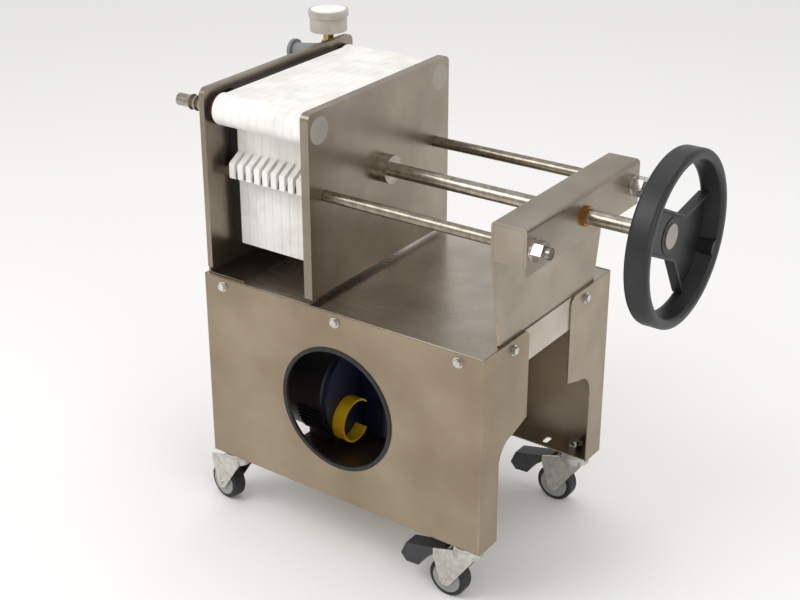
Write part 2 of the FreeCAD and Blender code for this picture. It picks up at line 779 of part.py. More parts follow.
def hexagon(sketch, wide, x="0", y="0"):
    """A hexagon of a given width across its flats, a corner on the sketch's X axis."""
    out = f"({wide}) / sqrt(3)"
    corners = []
    for turn in range(6):
        across = math.cos(math.radians(60 * turn))
        up = math.sin(math.radians(60 * turn))
        corners.append((f"{x} + {out} * {across:.9f}", f"{y} + {out} * {up:.9f}"))
    outline(sketch, corners)


def screw_bush():
    """The bronze nut of the screw, through the yoke's web and lip."""
    start = "(standLength - 2 * sheetGauge - 2 * sheetGap - yokeGauge - 2)"
    turned(
        "screw_bush",
        [
            (start, "screwRadius + screwPlay"),
            ("yokeFace + bushProud", "screwRadius + screwPlay"),
            ("yokeFace + bushProud", "bushRadius"),
            (start, "bushRadius"),
        ],
        "0",
        "0",
        "screwHeight",
    )


def yoke():
    """A sheet bent over twice: a tapered web that stands in the tray's slot, a top and a lip."""
    web_x = "(standLength - 2 * sheetGauge - 2 * sheetGap - yokeGauge)"
    body = new_body("yoke", web_x)
    reach = f"(yokeFace - {web_x})"
    side = new_sketch(body, "XZ_Plane")
    outline(
        side,
        [
            ("0", "-yokeFoot"),
            ("yokeGauge", "-yokeFoot"),
            ("yokeGauge", "yokeTop - yokeGauge"),
            (f"{reach} - yokeGauge", "yokeTop - yokeGauge"),
            (f"{reach} - yokeGauge", "yokeLip"),
            (reach, "yokeLip"),
            (reach, "yokeTop"),
            ("0", "yokeTop"),
        ],
    )
    pad(body, side, "yokeHalf * 2", both=True)
    lean = "(yokeHalf - yokeFootHalf) / yokeTaper"
    taper = new_sketch(body, "YZ_Plane", "-1")
    for way in ("-1", "1"):
        outline(
            taper,
            [
                (f"{way} * yokeHalf", "yokeTaper"),
                (f"{way} * (yokeHalf + 2)", "yokeTaper"),
                (f"{way} * (yokeHalf + 2)", "-(yokeFoot + 1)"),
                (f"{way} * (yokeFootHalf - {lean} * (yokeFoot + 1))", "-(yokeFoot + 1)"),
            ],
        )
    pocket(body, taper, "yokeGauge + 2", back=True)
    holes = new_sketch(body, "YZ_Plane")
    ring(holes, "0", "screwHeight", "bushRadius + screwPlay")
    for way in ("-", ""):
        ring(holes, f"{way}rodSide", "screwHeight", "rodRadius + rodFit")
    pocket(body, holes, f"{reach} * 3", both=True)
    top = worth("yokeTop")
    ends = (0, worth(reach))
    round_edges(
        body,
        "yokeBend",
        lambda p, d: along_y(d) and abs(p.z - top) < 0.05 and min(abs(p.x - e) for e in ends) < 0.05,
    )
    return body


def yoke_end_caps():
    """Plates let into the ends of the yoke's channel."""
    web_x = "(standLength - 2 * sheetGauge - 2 * sheetGap)"
    caps = []
    for way in ("-yokeHalf", "(yokeHalf - yokeGauge)"):
        cap = doc.addObject("Part::Box", "CapPlate")
        bind(cap, "Length", f"yokeFace - yokeGauge - {web_x} - 2 * sheetGap")
        bind(cap, "Width", "yokeGauge")
        bind(cap, "Height", "capDrop - yokeGauge")
        set_place(cap, f"{web_x} + sheetGap", way, "yokeTop - capDrop - sheetGap")
        caps.append(cap)
    both = doc.addObject("Part::Compound", "yoke_end_caps")
    both.Label = "yoke_end_caps"
    both.Links = caps


def tie_rods():
    nut_end = "(headFace - headGauge - washerGauge - nutGauge - 3)"
    discs("tie_rods", nut_end, "rodSide", "screwHeight", "rodRadius", f"yokeFace + rodProud - {nut_end}")


def tie_rod_nuts():
    """A washer and a nut at each end of each rod, as rings that the rods pass through."""
    bore = "(rodRadius + rodFit)"
    body = new_body("tie_rod_nuts", "0", "0", "screwHeight")
    lip = "yokeFace"
    back = "(headFace - headGauge - washerGauge)"
    for start in (lip, back):
        washers = new_sketch(body, "YZ_Plane", start)
        for side in ("-", ""):
            ring(washers, f"{side}rodSide", "0", "washerRadius")
            ring(washers, f"{side}rodSide", "0", bore)
        pad(body, washers, "washerGauge")
    for start in (f"{lip} + washerGauge", f"{back} - nutGauge"):
        nuts = new_sketch(body, "YZ_Plane", start)
        for side in ("-", ""):
            hexagon(nuts, "nutWide", f"{side}rodSide")
            ring(nuts, f"{side}rodSide", "0", bore)
        pad(body, nuts, "nutGauge")
    return body


def handwheel():
    """A moulded wheel: a deep rim, a straight spoke, a wider one opposite it, and a hub."""
    body = new_body("handwheel", "0", "0", "screwHeight")
    rim = new_sketch(body, "XZ_Plane")
    back = "(wheelFront - rimDepth)"
    front_inner = "(wheelRadius - rimWall)"
    back_inner = "(wheelRadius - rimWall - rimDraft)"
    outline(
        rim,
        [(back, back_inner), ("wheelFront", front_inner), ("wheelFront", "wheelRadius"), (back, "wheelRadius")],
    )
    feature = body.newObject("PartDesign::Revolution", "RimTurn")
    feature.Profile = rim
    feature.ReferenceAxis = (rim, ["H_Axis"])
    feature.Angle = 360
    doc.recompute()
    round_edges(body, "rimRound", lambda p, d: True)
    web = new_sketch(body, "YZ_Plane", back)
    bind(web, "AttachmentOffset.Rotation.Angle", "webTurn")
    into_rim = f"({back_inner} + 3)"
    outline(
        web,
        [
            (f"-{into_rim}", "spokeHalf"),
            ("fanStart", "spokeHalf"),
            ("fanReach", "fanHalf"),
            (into_rim, "spokeHalf / 2"),
            (into_rim, "-spokeHalf / 2"),
            ("fanReach", "-fanHalf"),
            ("fanStart", "-spokeHalf"),
            (f"-{into_rim}", "-spokeHalf"),
        ],
    )
    pad(body, web, "spokeGauge")
    ribs = new_sketch(body, "YZ_Plane", f"{back} + spokeGauge")
    bind(ribs, "AttachmentOffset.Rotation.Angle", "webTurn")
    for way in ("-1", "1"):
        outline(
            ribs,
            [
                (f"-{into_rim}", f"{way} * spokeHalf"),
                ("fanStart", f"{way} * spokeHalf"),
                ("fanReach", f"{way} * fanHalf"),
                ("fanReach + ribWall / 2", f"{way} * (fanHalf - ribWall)"),
                ("fanStart + ribWall / 2", f"{way} * (spokeHalf - ribWall)"),
                (f"-{into_rim}", f"{way} * (spokeHalf - ribWall)"),
            ],
        )
    pad(body, ribs, "ribRise")
    lug = new_sketch(body, "YZ_Plane", back)
    bind(lug, "AttachmentOffset.Rotation.Angle", "webTurn")
    ring(lug, "lugOut", "0", "lugRadius")
    pad(body, lug, "rimDepth - lugInset")
    hub = new_sketch(body, "YZ_Plane", "wheelHubBack")
    ring(hub, "0", "0", "wheelHubRadius")
    pad(body, hub, "wheelHubFront - wheelHubBack")
    bore = new_sketch(body, "YZ_Plane")
    ring(bore, "0", "0", "screwRadius + screwPlay")
    pocket(body, bore, "wheelFront * 3", both=True)
    return body


def hub_nut():
    body = new_body("hub_nut", "wheelHubBack - hubNutGauge - screwPlay", "0", "screwHeight")
    face = new_sketch(body, "YZ_Plane")
    hexagon(face, "hubNutWide")
    ring(face, "0", "0", "screwRadius + screwPlay")
    pad(body, face, "hubNutGauge")


def hub_cap():
    turned(
        "hub_cap",
        [("0", "0"), ("0", "hubCapRadius"), ("hubCapGauge", "hubCapRadius"), ("hubCapGauge", "0")],
        "wheelHubFront + screwPlay",
        "0",
        "screwHeight",
    )


# ---------------------------------------------------------------- fittings behind the head plate


def outlet_barb():
    """A hose tail with ridges, screwed into the near port from behind."""
    back = "(headFace - headGauge)"
    tail = "-barbReach"
    corners = [
        (back, "0"),
        (back, "barbCollar"),
        (f"{back} - barbCollarDepth", "barbCollar"),
        (f"{back} - barbCollarDepth", "barbRadius"),
    ]
    for step in range(3):
        ridge = f"({back} - barbFirst - {step} * barbPitch)"
        corners.append((f"{ridge} + barbRamp", "barbRadius"))
        corners.append((f"{ridge} + barbRamp", "barbRidge"))
        corners.append((ridge, "barbRadius"))
    corners.append((tail, "barbRadius"))
    corners.append((tail, "0"))
    turned("outlet_barb", corners, "0", "-portSide", "portHeight")


def inlet_fitting():
    """The tee and reducing cone of the far port, with a clamp flange at its end."""
    back = "(headFace - headGauge)"
    tail = "-inletReach"
    body = turned(
        "inlet_fitting",
        [
            (back, "0"),
            (back, "teeRadius"),
            ("-gaugeBack - teeRadius", "teeRadius"),
            (f"{tail} + coneEnd", "inletNeck"),
            (f"{tail} + inletLip", "inletNeck"),
            (f"{tail} + inletLip", "inletFlange"),
            (tail, "inletFlange"),
            (tail, "inletBore"),
            (f"{tail} + inletDepth", "inletBore"),
            (f"{tail} + inletDepth", "0"),
        ],
        "0",
        "portSide",
        "portHeight",
    )
    neck = new_sketch(body, "XY_Plane")
    ring(neck, "-gaugeBack", "0", "teeRadius - teeWall")
    pad(body, neck, "teeRadius + teeNeck")


def gauge_stem():
    base = "(portHeight + teeRadius + teeNeck)"
    body = new_body("gauge_stem", "-gaugeBack", "portSide", base)
    foot = new_sketch(body, "XY_Plane")
    hexagon(foot, "stemWide")
    pad(body, foot, f"gaugeTop - gaugeDepth - {base}")


def gauge_case():
    """A round case, its dial facing up inside a raised bezel."""
    turned(
        "gauge_case",
        [
            ("0", "0"),
            ("gaugeRadius", "0"),
            ("gaugeRadius", "gaugeDepth - bezelDepth"),
            ("bezelRadius", "gaugeDepth - bezelDepth"),
            ("bezelRadius", "gaugeDepth"),
            ("bezelRadius - bezelWall", "gaugeDepth"),
            ("bezelRadius - bezelWall", "gaugeDepth - dialInset"),
            ("0", "gaugeDepth - dialInset"),
        ],
        "-gaugeBack",
        "portSide",
        "gaugeTop - gaugeDepth",
        axis="V_Axis",
    )


# ---------------------------------------------------------------- pump in the stand


def pump_parts():
    base = doc.addObject("Part::Box", "pump_base_plate")
    base.Label = "pump_base_plate"
    bind(base, "Length", "baseEnd - baseStart")
    bind(base, "Width", "baseHalf * 2")
    bind(base, "Height", "baseGauge")
    set_place(base, "baseStart", "-baseHalf", "sheetGauge - standHeight")
    side = "-motorSide"
    axis = "-motorAxis"
    turned(
        "pump_motor",
        [
            ("motorStart", "0"),
            ("motorStart", "motorRadius - 4"),
            ("motorStart + 4", "motorRadius"),
            ("motorEnd", "motorRadius"),
            ("motorEnd", "0"),
        ],
        "0",
        side,
        axis,
    )
    turned(
        "pump_head",
        [("motorEnd", "0"), ("motorEnd", "pumpRadius"), ("pumpEnd", "pumpRadius"), ("pumpEnd", "0")],
        "0",
        side,
        axis,
    )
    band = new_body("yellow_band", "pumpEnd - bandWide", side, axis)
    hoop = new_sketch(band, "YZ_Plane")
    ring(hoop, "0", "0", "bandRadius")
    ring(hoop, "0", "0", "bandRadius - bandWall")
    pad(band, hoop, "bandWide")
    foot = doc.addObject("Part::Box", "motor_foot")
    foot.Label = "motor_foot"
    bind(foot, "Length", "motorEnd - motorStart - 20")
    bind(foot, "Width", "motorRadius")
    bind(foot, "Height", "standHeight - sheetGauge - baseGauge - motorAxis - motorRadius")
    set_place(foot, "motorStart + 10", f"{side} - motorRadius / 2", "sheetGauge + baseGauge - standHeight")


# ---------------------------------------------------------------- casters


def caster_studs():
    """The studs, nuts and fixed races of the four casters, in one node."""
    body = new_body("caster_studs", z="-standHeight")
    spots = []
    for x in ("casterInset", "(standLength - casterInset)"):
        for side in ("-casterSide", "casterSide"):
            spots.append((x, side))
    races = new_sketch(body, "XY_Plane")
    studs = new_sketch(body, "XY_Plane")
    nuts = new_sketch(body, "XY_Plane", "sheetGauge")
    for x, y in spots:
        ring(races, x, y, "raceRadius")
        ring(studs, x, y, "studRadius")
        hexagon(nuts, "studNutWide", x, y)
    pad(body, races, "raceGauge", back=True)
    pad(body, studs, "raceGauge + swivelGap + crownDepth", back=True)
    stem = new_sketch(body, "XY_Plane")
    for x, y in spots:
        ring(stem, x, y, "studRadius")
    pad(body, stem, "sheetGauge + studNutGauge + 4")
    pad(body, nuts, "studNutGauge")


def caster(tag, x, y, turn, braked):
    """A swivel fork with its wheel, trailing towards the head end at rest."""
    under = "-standHeight"
    axle = "-(casterHeight - tyreRadius)"
    crown_top = "-(raceGauge + swivelGap)"
    fork = new_body(f"fork_{tag}", x, y, under)
    crown = new_sketch(fork, "XY_Plane", crown_top)
    ring(crown, "0", "0", "raceRadius")
    pad(fork, crown, "crownDepth", back=True)
    arms = new_sketch(fork, "XZ_Plane")
    low = f"{crown_top} - crownDepth"
    outline(
        arms,
        [
            ("raceRadius * 0.8", f"{crown_top} - crownDepth / 2"),
            ("raceRadius * 0.8", low),
            ("forkEye - casterTrail", f"{axle} - forkEye * 0.5"),
            ("-casterTrail + forkEye * 0.5", f"{axle} - forkEye"),
            ("-casterTrail - forkEye * 0.5", f"{axle} - forkEye"),
            ("-casterTrail - forkEye", f"{axle} - forkEye * 0.5"),
            ("-casterTrail - forkEye", axle),
            ("-(pedalBack + 5)", "-(pedalDrop + 5)"),
            ("-(pedalBack + 5)", "-(pedalDrop - 4)"),
            ("-raceRadius * 0.8", f"{crown_top} - crownDepth / 2"),
        ],
    )
    pad(fork, arms, "forkInside + 2 * forkGauge", both=True)
    gap = new_sketch(fork, "XZ_Plane")
    reach = "pedalBack + raceRadius + forkEye + 10"
    outline(
        gap,
        [(reach, low), (f"-({reach})", low), (f"-({reach})", f"{axle} - 20"), (reach, f"{axle} - 20")],
    )
    pocket(fork, gap, "forkInside", both=True)
    lid = new_sketch(fork, "XZ_Plane")
    outline(
        lid,
        [
            ("-raceRadius * 0.8", f"{crown_top} - crownDepth / 2"),
            ("-raceRadius * 0.8", low),
            (f"-({reach})", low),
            (f"-({reach})", f"{crown_top} - crownDepth / 2"),
        ],
    )
    pocket(fork, lid, "forkInside", both=True)
    bore = new_sketch(fork, "XY_Plane", crown_top)
    ring(bore, "0", "0", "studRadius + turnPlay")
    pocket(fork, bore, "crownDepth * 2 + 2", both=True)
    pins = new_sketch(fork, "XZ_Plane")
    ring(pins, "-casterTrail", axle, "axleRadius")
    pad(fork, pins, "forkInside + 2 * forkGauge + 3", both=True)
    if braked:
        pivot = new_sketch(fork, "XZ_Plane")
        ring(pivot, "-pedalBack", "-pedalDrop", "pedalPin")
        pad(fork, pivot, "forkInside + 2 * forkGauge + 1", both=True)

    wheel_profiles = {
        f"wheel_{tag}": ("axleRadius + turnPlay", "tyreRadius - tyreWall", "tyreWide + 1"),
        f"tyre_{tag}": ("tyreRadius - tyreWall", "tyreRadius", "tyreWide"),
    }
    parts = [fork]
    for name, (inner, outer, wide) in wheel_profiles.items():
        body = new_body(name, x, y, under)
        sketch = new_sketch(body, "YZ_Plane", "-casterTrail")
        bind(sketch, "AttachmentOffset.Base.y", axle)
        half = f"({wide}) / 2"
        outline(sketch, [(f"-{half}", inner), (half, inner), (half, outer), (f"-{half}", outer)])
        parts.append(body)
        feature = body.newObject("PartDesign::Revolution", name + "Turn")
        feature.Profile = sketch
        feature.ReferenceAxis = (sketch, ["H_Axis"])
        feature.Angle = 360
        doc.recompute()
        if name.startswith("tyre"):
            rim = worth(f"{axle}") - worth(outer)
            rim_top = worth(f"{axle}") + worth(outer)
            round_edges(body, "tyreWall / 2", lambda p, d: min(abs(p.z - rim), abs(p.z - rim_top)) < 0.1)

    if braked:
        pedal = new_body(f"pedal_{tag}", x, y, under)
        side = new_sketch(pedal, "XZ_Plane")
        outline(
            side,
            [
                ("-(pedalBack - 5)", "-(pedalDrop - 5)"),
                ("-(pedalBack + 47)", "-(pedalDrop + 7)"),
                ("-(pedalBack + 54)", "-(pedalDrop + 24)"),
                ("-(pedalBack + 46)", "-(pedalDrop + 33)"),
                ("-(pedalBack + 28)", "-(pedalDrop + 32)"),
                ("-(pedalBack + 19)", "-(pedalDrop + 18)"),
                ("-(pedalBack + 6)", "-(pedalDrop + 7)"),
                ("-(pedalBack - 3)", "-(pedalDrop + 5)"),
            ],
        )
        pad(pedal, side, "pedalWide", both=True)
        bore = new_sketch(pedal, "XZ_Plane")
        ring(bore, "-pedalBack", "-pedalDrop", "pedalPin + turnPlay")
        pocket(pedal, bore, "pedalWide * 2", both=True)
        parts.append(pedal)
    if turn:
        for body in parts:
            bind(body, "Placement.Rotation.Angle", turn)


# ---------------------------------------------------------------- the whole press

for name, side, has_porthole in (("near_side_panel", "-1", True), ("far_side_panel", "1", False)):
    panel = side_panel(name, side)
    finish_side_panel(panel, side, has_porthole)
tray()
porthole_trim()
head_plate()
head_bracket()
backing_plate()
port_seals()
for number in range(1, plate_count + 1):
    filter_plate(number)
follower_plate()
discs("port_plugs", follower_x, "portSide", "portHeight", "plugRadius", "followerGauge")
thrust_boss()
screw_spindle()
screw_bush()
yoke()
yoke_end_caps()
tie_rods()
tie_rod_nuts()
handwheel()
hub_nut()
hub_cap()
outlet_barb()
inlet_fitting()
gauge_stem()
gauge_case()
pump_parts()
caster_studs()
caster("near_head", "casterInset", "-casterSide", "headCasterTurn", False)
caster("far_head", "casterInset", "casterSide", "", False)
caster("near_front", "standLength - casterInset", "-casterSide", "", True)
caster("far_front", "standLength - casterInset", "casterSide", "", True)

doc.recompute()
for thing in doc.Objects:
    if "Invalid" in thing.State or "Error" in thing.State:
        raise RuntimeError(f"{thing.Label} did not build: {thing.State}")
used = set()
for thing in doc.Objects:
    if thing.TypeId == "Part::Compound":
        used.update(link.Name for link in thing.Links)
for thing in doc.Objects:
    shaped = thing.TypeId == "PartDesign::Body" or thing.TypeId.startswith("Part::")
    if not shaped or thing.Name in used:
        continue
    if thing.Shape.isNull() or not thing.Shape.isValid():
        raise RuntimeError(f"{thing.Label} has no valid shape")
    thing.Shape.exportStep(f"parts/{thing.Label}.step")
    print(thing.Label, round(thing.Shape.Volume), len(thing.Shape.Solids))
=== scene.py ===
import math
import bpy
from mathutils import Matrix, Vector


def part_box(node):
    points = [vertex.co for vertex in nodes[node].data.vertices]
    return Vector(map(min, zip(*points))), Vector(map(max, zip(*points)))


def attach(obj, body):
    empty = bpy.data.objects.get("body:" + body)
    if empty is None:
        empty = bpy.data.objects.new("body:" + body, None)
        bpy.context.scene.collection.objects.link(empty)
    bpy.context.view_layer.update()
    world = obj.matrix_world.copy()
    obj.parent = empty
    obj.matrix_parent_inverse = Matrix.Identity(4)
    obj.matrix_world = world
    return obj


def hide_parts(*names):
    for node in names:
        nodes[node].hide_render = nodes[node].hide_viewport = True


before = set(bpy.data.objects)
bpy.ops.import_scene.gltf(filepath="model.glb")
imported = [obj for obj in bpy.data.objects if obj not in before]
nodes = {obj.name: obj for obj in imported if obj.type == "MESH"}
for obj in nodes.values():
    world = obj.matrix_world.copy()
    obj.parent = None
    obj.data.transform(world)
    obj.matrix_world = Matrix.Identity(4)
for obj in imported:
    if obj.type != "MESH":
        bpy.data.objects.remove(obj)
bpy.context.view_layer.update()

print("frame loaded:", len(nodes), "nodes")

# ---- small helpers


def clearSelection():
    if bpy.context.object and bpy.context.object.mode != "OBJECT":
        bpy.ops.object.mode_set(mode="OBJECT")
    bpy.ops.object.select_all(action="DESELECT")
    bpy.context.view_layer.objects.active = None


def makeActive(piece):
    clearSelection()
    piece.select_set(True)
    bpy.context.view_layer.objects.active = piece


def settle(piece, smoothAngle=35):
    # bring the place into the mesh, so that the object sits at the origin
    makeActive(piece)
    bpy.ops.object.transform_apply(location=True, rotation=True, scale=True)
    if smoothAngle:
        bpy.ops.object.shade_smooth_by_angle(angle=math.radians(smoothAngle))
    return piece


def applyAll(piece):
    makeActive(piece)
    for modifier in list(piece.modifiers):
        bpy.ops.object.modifier_apply(modifier=modifier.name)


def bevelPiece(piece, width, segments=2, angle=30):
    bevel = piece.modifiers.new("EdgeRound", "BEVEL")
    bevel.width = width
    bevel.segments = segments
    bevel.limit_method = "ANGLE"
    bevel.angle_limit = math.radians(angle)
    applyAll(piece)


def joinPieces(pieces, name):
    clearSelection()
    for piece in pieces:
        piece.select_set(True)
    bpy.context.view_layer.objects.active = pieces[0]
    bpy.ops.object.join()
    whole = bpy.context.object
    whole.name = name
    return whole


# ---- materials

# sRGB hex to the linear colour that shaders use
def colour(hexText):
    channels = [int(hexText[i:i + 2], 16) / 255 for i in (1, 3, 5)]
    linear = [c / 12.92 if c <= 0.04045 else ((c + 0.055) / 1.055) ** 2.4 for c in channels]
    return (*linear, 1)


def newMaterial(name):
    material = bpy.data.materials.new(name)
    material.use_nodes = True
    return material, material.node_tree, material.node_tree.nodes["Principled BSDF"]


def addNode(tree, kind, inputs=None, **fields):
    node = tree.nodes.new(kind)
    for field, value in fields.items():
        setattr(node, field, value)
    for socket, value in (inputs or {}).items():
        if isinstance(value, bpy.types.NodeSocket):
            tree.links.new(value, node.inputs[socket])
        else:
            node.inputs[socket].default_value = value
    return node


def objectPattern(tree, scale):
    place = addNode(tree, "ShaderNodeTexCoord")
    mapping = addNode(tree, "ShaderNodeMapping", {"Vector": place.outputs["Object"], "Scale": scale})
    return mapping.outputs["Vector"]


def ramp(tree, source, stops):
    # stops are (place, hex colour) pairs
    node = addNode(tree, "ShaderNodeValToRGB", {"Fac": source})
    elements = node.color_ramp.elements
    elements[0].position, elements[0].color = stops[0][0], colour(stops[0][1])
    elements[1].position, elements[1].color = stops[-1][0], colour(stops[-1][1])
    for position, hexText in stops[1:-1]:
        elements.new(position).color = colour(hexText)
    return node.outputs["Color"]


# stainless sheet, 2B finish brushed along the grain: long fine scratches and faint handling clouds
def brushedStainless(name, dark, light, grain, roughness=0.34, scratch=0.12):
    material, tree, surface = newMaterial(name)
    clouds = addNode(
        tree,
        "ShaderNodeTexNoise",
        {"Vector": objectPattern(tree, (9, 9, 9)), "Scale": 1, "Detail": 3},
    )
    tree.links.new(ramp(tree, clouds.outputs["Fac"], [(0.35, dark), (0.65, light)]), surface.inputs["Base Color"])
    lines = addNode(tree, "ShaderNodeTexNoise", {"Vector": objectPattern(tree, grain), "Scale": 1, "Detail": 2})
    rough = addNode(
        tree,
        "ShaderNodeMapRange",
        {"Value": lines.outputs["Fac"], "To Min": roughness - 0.07, "To Max": roughness + 0.09},
    )
    tree.links.new(rough.outputs["Result"], surface.inputs["Roughness"])
    bump = addNode(tree, "ShaderNodeBump", {"Height": lines.outputs["Fac"], "Strength": scratch, "Distance": 0.0002})
    tree.links.new(bump.outputs["Normal"], surface.inputs["Normal"])
    surface.inputs["Metallic"].default_value = 1
    return material


# moulded plastic: fine spark-eroded grain of the mould, colour a little uneven
def mouldedPlastic(name, base, shade, roughness=0.45, grain=900, depth=0.1, soft=0):
    material, tree, surface = newMaterial(name)
    clouds = addNode(
        tree,
        "ShaderNodeTexNoise",
        {"Vector": objectPattern(tree, (30, 30, 30)), "Scale": 1, "Detail": 2},
    )
    tree.links.new(ramp(tree, clouds.outputs["Fac"], [(0.35, shade), (0.6, base)]), surface.inputs["Base Color"])
    specks = addNode(tree, "ShaderNodeTexNoise", {"Vector": objectPattern(tree, (grain, grain, grain)), "Scale": 1})
    bump = addNode(tree, "ShaderNodeBump", {"Height": specks.outputs["Fac"], "Strength": depth, "Distance": 0.0001})
    tree.links.new(bump.outputs["Normal"], surface.inputs["Normal"])
    surface.inputs["Roughness"].default_value = roughness
    if soft:
        surface.inputs["Subsurface Weight"].default_value = soft
        surface.inputs["Subsurface Radius"].default_value = (0.004, 0.004, 0.003)
    return material


# bright metal fittings: turned or plated, smooth, with a slight stain
def brightMetal(name, dark, light, roughness=0.22):
    material, tree, surface = newMaterial(name)
    stain = addNode(
        tree,
        "ShaderNodeTexNoise",
        {"Vector": objectPattern(tree, (120, 120, 120)), "Scale": 1, "Detail": 3},
    )
    tree.links.new(ramp(tree, stain.outputs["Fac"], [(0.3, dark), (0.7, light)]), surface.inputs["Base Color"])
    surface.inputs["Metallic"].default_value = 1
    surface.inputs["Roughness"].default_value = roughness
    return material


finish = {
    # side panels: sheet brushed upright; the near panel is the same steel as the far sheet, painted a darker
    # brown-grey as painted shade
    "panel": brushedStainless("brushedPanelSheet", "#8f806c", "#a39480", (900, 900, 14), 0.36),
    "legs": brushedStainless("brushedFarSheet", "#9c8f7c", "#b3a694", (900, 900, 14), 0.36),
    # tray: brighter, grain along the machine
    "tray": brushedStainless("brushedTraySheet", "#a89e90", "#c4bbae", (14, 900, 900), 0.27),
    # pressing plates: sawn from thick plate, ground flat
    "plate": brushedStainless("groundPlate", "#8a8072", "#a3998b", (900, 900, 16), 0.3),
    "yoke": brushedStainless("brushedYokeSheet", "#958a7b", "#ada395", (900, 16, 900), 0.32),
    "rod": brightMetal("drawnRod", "#7d7468", "#a39a8c", 0.24),
    "fitting": brightMetal("turnedStainless", "#8f877b", "#b5ada0", 0.22),
    "zinc": brightMetal("brightZinc", "#b5b3ae", "#d5d3ce", 0.2),
    "bronze": brightMetal("turnedBronze", "#8a5a24", "#b98340", 0.3),
    "brass": brightMetal("machinedBrass", "#a68a52", "#c9b074", 0.25),
    "white": mouldedPlastic("whitePolypropylene", "#f4f2ee", "#e6e3dd", 0.4, 700, 0.05, 0.1),
    "backing": mouldedPlastic("blackPolyethylene", "#161616", "#0e0e0e", 0.4),
    "handwheel": mouldedPlastic("blackPhenolic", "#1c1d1f", "#141516", 0.42, 1200, 0.12),
    "plug": mouldedPlastic("greyPlug", "#a19b91", "#938d83", 0.4),
    "trim": mouldedPlastic("blackRubberTrim", "#141414", "#0c0c0c", 0.5, 800, 0.15),
    "seal": mouldedPlastic("redBrownRubber", "#6b2c1c", "#54200f", 0.5),
    "motor": mouldedPlastic("blackMotorCase", "#17181b", "#0f1012", 0.4),
    "pump": mouldedPlastic("navyPump", "#14203f", "#0c1530", 0.35),
    "yellow": mouldedPlastic("yellowGrip", "#f0c614", "#d9a90c", 0.35),
    "grey": mouldedPlastic("greyFitting", "#85888a", "#74777a", 0.38),
    "wheelGrey": mouldedPlastic("greyWheelBody", "#9a9a98", "#8a8a88", 0.45),
    "tyre": mouldedPlastic("blackTyre", "#1b1b1c", "#131313", 0.55, 700, 0.15),
    "pedal": mouldedPlastic("darkPedal", "#3a3b3e", "#2c2d30", 0.45),
    "gaugeCase": mouldedPlastic("satinGaugeCase", "#b8b2a6", "#a39d92", 0.3),
}

nodeFinish = {
    "near_side_panel": "panel",
    "far_side_panel": "legs",
    "top_tray": "tray",
    "porthole_trim": "trim",
    "head_plate": "plate",
    "head_bracket": "plate",
    "backing_plate": "backing",
    "port_seals": "seal",
    "screw_bush": "bronze",
    "yoke": "yoke",
    "yoke_end_caps": "yoke",
    "tie_rods": "rod",
    "tie_rod_nuts": "zinc",
    "outlet_barb": "fitting",
    "inlet_fitting": "grey",
    "gauge_stem": "brass",
    "gauge_case": "gaugeCase",
    "pump_base_plate": "legs",
    "pump_motor": "motor",
    "pump_head": "pump",
    "yellow_band": "yellow",
    "motor_foot": "motor",
    "caster_studs": "zinc",
    "follower_plate": "plate",
    "port_plugs": "plug",
    "thrust_boss": "fitting",
    "screw_spindle": "fitting",
    "handwheel": "handwheel",
    "hub_nut": "zinc",
    "hub_cap": "plug",
}
for name, node in nodes.items():
    if name in nodeFinish:
        kind = nodeFinish[name]
    elif name.startswith("filter_plate"):
        kind = "white"
    elif name.startswith("fork"):
        kind = "zinc"
    elif name.startswith("wheel"):
        kind = "wheelGrey"
    elif name.startswith("tyre"):
        kind = "tyre"
    else:
        kind = "pedal"
    node.data.materials.clear()
    node.data.materials.append(finish[kind])
print("finishes set")

# ---- pieces that the solids leave out

# the stand's own zero: head end, middle plane and tray top, in metres
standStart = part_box("near_side_panel")[0].x
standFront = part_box("near_side_panel")[1].x
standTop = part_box("near_side_panel")[1].z
standSide = -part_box("near_side_panel")[0].y


def cylinder(name, radius, depth, place, turn, sides=48, kind="zinc", smoothAngle=35):
    clearSelection()
    bpy.ops.mesh.primitive_cylinder_add(radius=radius, depth=depth, vertices=sides, location=place, rotation=turn)
    piece = bpy.context.object
    piece.name = name
    piece.data.materials.append(finish[kind])
    return settle(piece, smoothAngle)


def block(name, low, high, kind, edge=0.0):
    clearSelection()
    size = [b - a for a, b in zip(low, high)]
    middle = [(a + b) / 2 for a, b in zip(low, high)]
    bpy.ops.mesh.primitive_cube_add(size=1, location=middle, scale=size)
    piece = bpy.context.object
    piece.name = name
    piece.data.materials.append(finish[kind])
    settle(piece)
    if edge:
        bevelPiece(piece, edge, 3)
    return piece


# hexagon bolts with washers: face gives the side they look to
boltSizes = {"across": 0.0052, "head": 0.0036, "washer": 0.0066, "washerThick": 0.0012, "edge": 0.0006}
sideTurns = {"y": (math.pi / 2, 0, 0), "x": (0, math.pi / 2, 0)}


def bolt(name, place, axis, sign):
    out = Vector((sign, 0, 0)) if axis == "x" else Vector((0, sign, 0))
    spot = Vector(place)
    seat = boltSizes["washerThick"]
    washer = cylinder(name + "Washer", boltSizes["washer"], seat, spot + out * seat / 2, sideTurns[axis], 32)
    middle = spot + out * (seat + boltSizes["head"] / 2)
    head = cylinder(name + "Head", boltSizes["across"], boltSizes["head"], middle, sideTurns[axis], 6)
    bevelPiece(head, boltSizes["edge"], 2)
    whole = joinPieces([washer, head], name)
    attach(whole, "stand")


